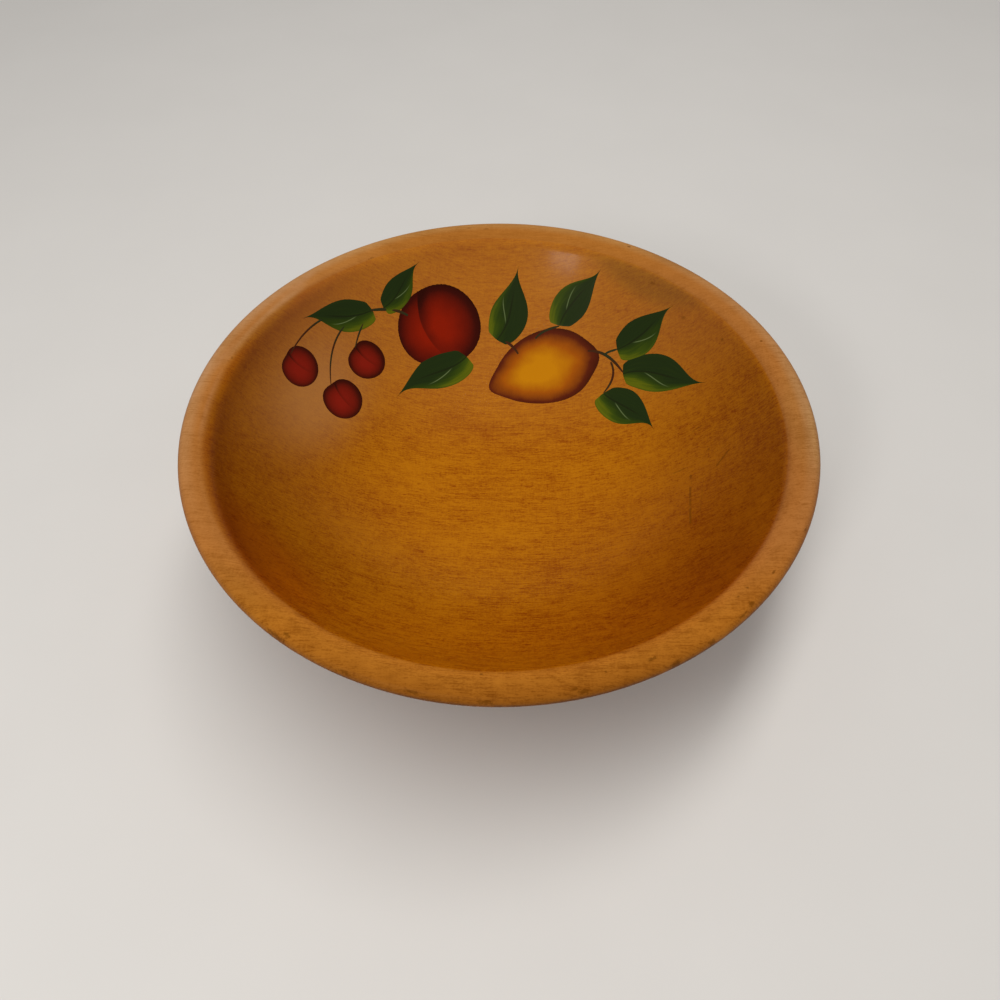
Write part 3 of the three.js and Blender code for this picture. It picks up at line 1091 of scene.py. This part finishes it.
# %% The stamp tree
def build_stamp():
    inputs = {"Wall": ("Object", None), "Fineness": ("Int", 40), "Material": ("Material", None)}
    bench, given = geometry_tree("Stamp", **inputs)
    boxes = boxes_on_marks(bench, given["Geometry"], given["Fineness"], given["Fineness"])
    u, v, _ = named(bench, "canvas")
    x = u * bench.maths("SQRT", 1 - v * v * 0.5)
    y = v * bench.maths("SQRT", 1 - u * u * 0.5)
    boxes = store(bench, boxes, "disc", bench.join(x, y, 0.0))
    radius = bench.length(x, y)
    level = x / bench.maths("MAXIMUM", radius, 0.001)
    upright = y / bench.maths("MAXIMUM", radius, 0.001)
    ends, dip, tip = named(bench, "shape")
    outline = 1 + ends * (level ** 2) ** 9 - dip * (upright * 0.5 + 0.5) ** 14
    outline = outline + tip * (0.5 - upright * 0.5) ** 9
    half_width, half_height, tilt = named(bench, "size")
    x, y = x * outline * half_width, y * outline * half_height
    cosine, sine = bench.maths("COSINE", tilt), bench.maths("SINE", tilt)
    raised = 1 - radius ** 8
    across, up = x * cosine - y * sine, x * sine + y * cosine
    return lay_on_wall(bench, boxes, given["Wall"], across, up, raised, given["Material"])


brush, stamp = build_brush(), build_stamp()
print("brush tree:", len(brush.nodes), "nodes, stamp tree:", len(stamp.nodes), "nodes")

# %% [markdown]
# ## Paint colours
# All the shading of these fruits is in the paint. A fruit is bright in the middle and turns brown or
# maroon towards its edge, where the painter sprayed or rubbed in a darker tone, and a crease is a
# sharp line that is soft on one side. A leaf is dark on one side and yellow green on the other,
# because both colours were on the brush at once, and the hairs of the brush leave fine streaks along
# it. Each shader reads the place on the canvas that the painting trees stored with the points.

# %% Fruit paint
def end_paint(bench, colour, relief):
    """Oil paint with a satin sheen. Its small relief is the mark of the brush."""
    sockets = {"Base Color": colour, "Roughness": 0.4, "Normal": bump(bench, relief, 0.3, 0.05)}
    sockets |= {"Specular IOR Level": 0.08, "Specular Tint": (1.0, 0.85, 0.6)}
    end_material(bench, sockets)


def fruit_paint(name, tones, crease, reach):
    """The crease is told by its place to the side, its bend and its strength. It fades over the reach."""
    material, bench = start_material(name)
    x, y, _ = stored(bench, "disc")
    _, _, shade = stored(bench, "brush")
    daub = noise(bench, own_place(bench), 9, 3)
    hairs = noise(bench, bench.vector("MULTIPLY", own_place(bench), (1.0, 0.25, 0.25)), 0.7, 2)
    lit = bench.length(x + 0.16, y + 0.06)
    rim = bench.length(x, y)
    dark = lit * 0.55 + rim ** 3 * 0.45 + (daub - 0.5) * 0.22 + (hairs - 0.5) * 0.06
    side = x - crease[0] - crease[1] * y * y
    soft_side = bench.between(side, reach, 0.0) ** 2
    fold = soft_side * bench.between(side, -0.02, 0.01) * bench.between(y, -0.75, -0.1)
    dark = dark + fold * crease[2] + shade * 0.08
    core, middle, edge = tones
    outermost = tuple(part * 0.6 for part in edge)
    stops = [(0.0, core), (0.18, core), (0.48, middle), (0.8, edge), (1.0, outermost)]
    colour = bench.add("ShaderNodeValToRGB", {"stops": stops}, {"Fac": dark})
    end_paint(bench, colour, daub + hairs)
    return material


plum_tones = ((0.20, 0.008, 0.001), (0.115, 0.005, 0.001), (0.034, 0.002, 0.001))
lemon_tones = ((0.45, 0.17, 0.002), (0.29, 0.070, 0.002), (0.080, 0.011, 0.003))
cherry_tones = ((0.18, 0.008, 0.003), (0.125, 0.006, 0.002), (0.042, 0.003, 0.001))
plum_red = fruit_paint("plum_red_paint", plum_tones, crease=(-0.35, 0.30, 0.4), reach=0.5)
lemon_gold = fruit_paint("lemon_gold_paint", lemon_tones, crease=(0.42, -0.2, 0.0), reach=0.28)
cherry_red = fruit_paint("cherry_red_paint", cherry_tones, crease=(0.0, 0.2, 0.3), reach=0.25)

# %% Leaf and stem paint
leaf_greens = [(0.0, (0.010, 0.020, 0.004)), (0.4, (0.018, 0.034, 0.003))]
leaf_greens += [(0.75, (0.034, 0.056, 0.003)), (1.0, (0.085, 0.100, 0.003))]
midrib_green, vein_green, wet_green = (0.008, 0.012, 0.003), (0.15, 0.20, 0.08), (0.010, 0.020, 0.005)
stem_brown_tone, stem_green_tone = (0.045, 0.012, 0.004), (0.018, 0.022, 0.008)


def leaf_paint():
    material, bench = start_material("leaf_green_paint")
    side, along, _ = stored(bench, "canvas")
    _, _, shade = stored(bench, "brush")
    t = along * 0.5 + 0.5
    light_side = side * bench.maths("SIGN", shade)
    seed = bench.maths("ABSOLUTE", shade) * 37
    hairs = noise(bench, bench.join(t * 2.5, side * 9, seed), 1.0, 3, 0.6)
    daub = noise(bench, bench.join(t * 2, side * 1.5, seed), 0.8, 2)
    bright = bench.between(light_side + (daub - 0.5) * 0.9 - t * 1.1, -0.5, 0.75) + (hairs - 0.5) * 0.45
    green = bench.add("ShaderNodeValToRGB", {"stops": leaf_greens}, {"Fac": bright})
    offset = side - bench.maths("SINE", t * 5 + seed) * 0.05
    midrib = bench.between(bench.maths("ABSOLUTE", offset), 0.06, 0.02) * bench.between(t, 0.75, 0.5)
    green = bench.mix(midrib * 0.85, green, midrib_green)
    beside_vein = bench.maths("ABSOLUTE", offset * bench.maths("SIGN", shade) - (t - 0.2) * 1.7)
    middle_part = bench.between(t, 0.22, 0.30) * bench.between(t, 0.6, 0.45)
    vein = bench.between(beside_vein, 0.04, 0.01) * middle_part
    green = bench.mix(vein * 0.55, green, vein_green)
    wet_edge = bench.between(bench.maths("ABSOLUTE", side), 0.86, 1.0)
    green = bench.mix(wet_edge * 0.5, green, wet_green)
    end_paint(bench, green, hairs * 2 + midrib)
    return material


def stem_paint():
    material, bench = start_material("stem_brown_paint")
    side, along, _ = stored(bench, "canvas")
    hairs = noise(bench, bench.join(along * 3, side * 2, 0.0), 0.6, 3)
    daub = noise(bench, own_place(bench), 14, 2)
    share = bench.between(daub + (hairs - 0.5) * 0.3, 0.35, 0.65)
    end_paint(bench, bench.mix(share, stem_brown_tone, stem_green_tone), hairs)
    return material


leaf_green = leaf_paint()
stem_brown = stem_paint()

# %% [markdown]
# ## The painting
# A round plum and a lemon lie side by side, with leaves between and round them and three cherries on
# long stems. The order of the coats is the order in which a painter works: fruit first, then
# stems, then leaves over both. The fine veins and creases are drawn in the leaf and fruit paint. Each
# later coat is set a little thicker, so it lies on top.

# %% Fruit, stems and leaves
plums = [fruit((-19, 43), (56, 53), 14, (0.0, 0.05, 0.04), 0.08)]
lemons = [fruit((18, 71), (66, 49), 29, (0.13, 0.0, 0.0), 0.11)]
cherries = [
    fruit((-63, 24), (26, 25), 12, (0.0, 0.16, 0.05), 0.08, 0.1),
    fruit((-60, 55), (27, 26), -8, (0.0, 0.16, 0.05), 0.08, 0.6),
    fruit((-45, 46), (25, 25), 20, (0.0, 0.16, 0.05), 0.08, 0.9),
]
stems = [
    stroke((-27, 33), (-37, 21), (-3, -1), 2.2, 0.14),
    stroke((-37, 21), (-63, 16), (-7, -6), 1.3, 0.14),
    stroke((-37, 21), (-60, 46), (-9, -7), 1.3, 0.14),
    stroke((-36, 22), (-46, 37), (-2, -1), 1.3, 0.14),
    stroke((30, 54), (45, 56), (4, 2), 2.0, 0.14),
    stroke((36, 52), (39, 45), (1, 0), 1.6, 0.14),
    stroke((39, 54), (43, 73), (4, 3), 1.6, 0.14),
    stroke((7, 66), (-1, 55), (-2, -1), 2.0, 0.14),
    stroke((12, 55), (19, 44), (2, 1), 1.8, 0.14),
]
leaves = [
    stroke((-1, 57), (5, 10), (-5, -1), 25, 0.17, -0.2),
    stroke((19, 44), (26, 3), (5, -1), 23, 0.17, -0.5),
    stroke((39, 46), (47, 6), (-4, 2), 24, 0.17, 0.8),
    stroke((45, 57), (68, 27), (5, -3), 25, 0.17, 0.3),
    stroke((43, 73), (69, 68), (-4, 3), 24, 0.17, 0.6),
    stroke((-36, 22), (-54, 5), (5, -2), 21, 0.17, -0.4),
    stroke((-33, 23), (-20, 3), (-4, 2), 18, 0.17, 0.7),
    stroke((-12, 66), (-44, 76), (5, -3), 24, 0.17, -0.1),
]


def make_paint(name, marks, tree, **values):
    """Makes one painted piece out of its marks, and lets it move with the bowl."""
    piece = make_piece(name, marks_mesh(name, marks), tree, Wall=wall_line, **values)
    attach(piece, "root")
    return finish_edges(piece, 60)


make_paint("painted_plum", plums, stamp, Material=plum_red)
make_paint("painted_lemon", lemons, stamp, Material=lemon_gold)
make_paint("painted_cherries", cherries, stamp, Fineness=26, Material=cherry_red)
make_paint("painted_stems", stems, brush, Across=7, Taper=0.2, Material=stem_brown)
leaf_form = {"Across": 19, "Widest At": 0.33, "Taper": 1.2}
make_paint("painted_leaves", leaves, brush, Material=leaf_green, **leaf_form)
bpy.data.objects.remove(wall_line)

# %% [markdown]
# ## The stage
# The floor is one wide pale disc, and the background is given about the same tone for what the camera, a
# reflection or a clear piece shows of it, while it lights the bowl more weakly. A long soft light hangs
# overhead and isn't seen in the gloss. A small lamp to the front left, like a window far away, gives the
# varnish its one glare. The camera looks down at the bowl as one does across a table.

# %% Floor, background, lights and camera
def build_disc():
    bench, given = geometry_tree("Disc", Radius=("Float", 1.0), Material=("Material", None))
    settings = {"fill_type": "TRIANGLE_FAN"}
    disc = bench.add("GeometryNodeMeshCircle", settings, {"Vertices": 96, "Radius": given["Radius"]})
    return end_tree(bench, disc, given["Material"])


def floor_paper():
    material, bench = start_material("floor_paper")
    tone = noise(bench, own_place(bench), 90, 3) * 0.03 + 0.60
    colour = bench.join(tone, tone * 0.975, tone * 0.94)
    end_material(bench, {"Base Color": colour, "Roughness": 0.9})
    return material


floor = make_piece("floor", bpy.data.meshes.new("floor"), build_disc(), Radius=6.0, Material=floor_paper())
floor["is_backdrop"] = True

world = bpy.data.worlds.new("soft_room")
bpy.context.scene.world = world
world.use_nodes = True
world.node_tree.nodes.clear()
sky = Bench(world.node_tree)
ray = sky.add("ShaderNodeLightPath")
mirrored = sky.maths("MAXIMUM", ray["Is Glossy Ray"], ray["Is Transmission Ray"])
seen = sky.maths("MAXIMUM", ray["Is Camera Ray"], mirrored)
room = sky.add("ShaderNodeBackground", None, {"Color": (1.0, 0.98, 0.96), "Strength": 0.35})
backdrop = sky.add("ShaderNodeBackground", None, {"Color": (0.60, 0.59, 0.58), "Strength": 1.0})
mixed = sky.add("ShaderNodeMixShader", None, {"Fac": seen, 1: room, 2: backdrop})
output = world.node_tree.nodes.new("ShaderNodeOutputWorld")
sky.give(output.inputs["Surface"], mixed)


def soft_light(name, place, aim, size, power, colour):
    light = bpy.data.lights.new(name, "AREA")
    light.shape = "RECTANGLE"
    light.size, light.size_y = size
    light.energy = power
    light.color = colour
    lamp = bpy.data.objects.new(name, light)
    lamp.location = place
    lamp.rotation_euler = (Vector(aim) - Vector(place)).to_track_quat("-Z", "Y").to_euler()
    bpy.context.scene.collection.objects.link(lamp)
    print(name, "light of", power, "W")
    return lamp


rim_middle = (0, 0, rim_height)
overhead = soft_light("overhead", (-0.06, -0.1, 1.5), rim_middle, (0.4, 1.8), 18, (1.0, 0.98, 0.95))
overhead.visible_glossy = False
soft_light("window", (-0.58, -1.05, 0.98), rim_middle, (0.24, 0.24), 5, (1.0, 0.99, 0.98))

camera_distance = 0.47507  # from the middle of the rim
camera_side = 0.45 * MM
camera_pitch = math.radians(51.99)  # how far below level it looks
camera_rise = math.radians(46.30)  # how far above level it stands, seen from the middle of the rim
lens = bpy.data.cameras.new("camera")
lens.lens = 32.58
lens.sensor_width = 36
camera = bpy.data.objects.new("camera", lens)
camera_height = rim_height + camera_distance * math.sin(camera_rise)
camera.location = (camera_side, -camera_distance * math.cos(camera_rise), camera_height)
camera.rotation_euler = (math.pi / 2 - camera_pitch, 0, 0)
bpy.context.scene.collection.objects.link(camera)
bpy.context.scene.camera = camera
print("camera at, mm:", [round(part / MM) for part in camera.location])
bpy.context.scene.view_settings.view_transform = "Standard"

# %% Measures of the finished model
visual_low, visual_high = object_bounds()
sizes = {"construction": [list(construction_low), list(construction_high)], "visual": [list(visual_low), list(visual_high)]}
print("visual box, mm:", [round(side / MM, 2) for side in visual_high - visual_low])
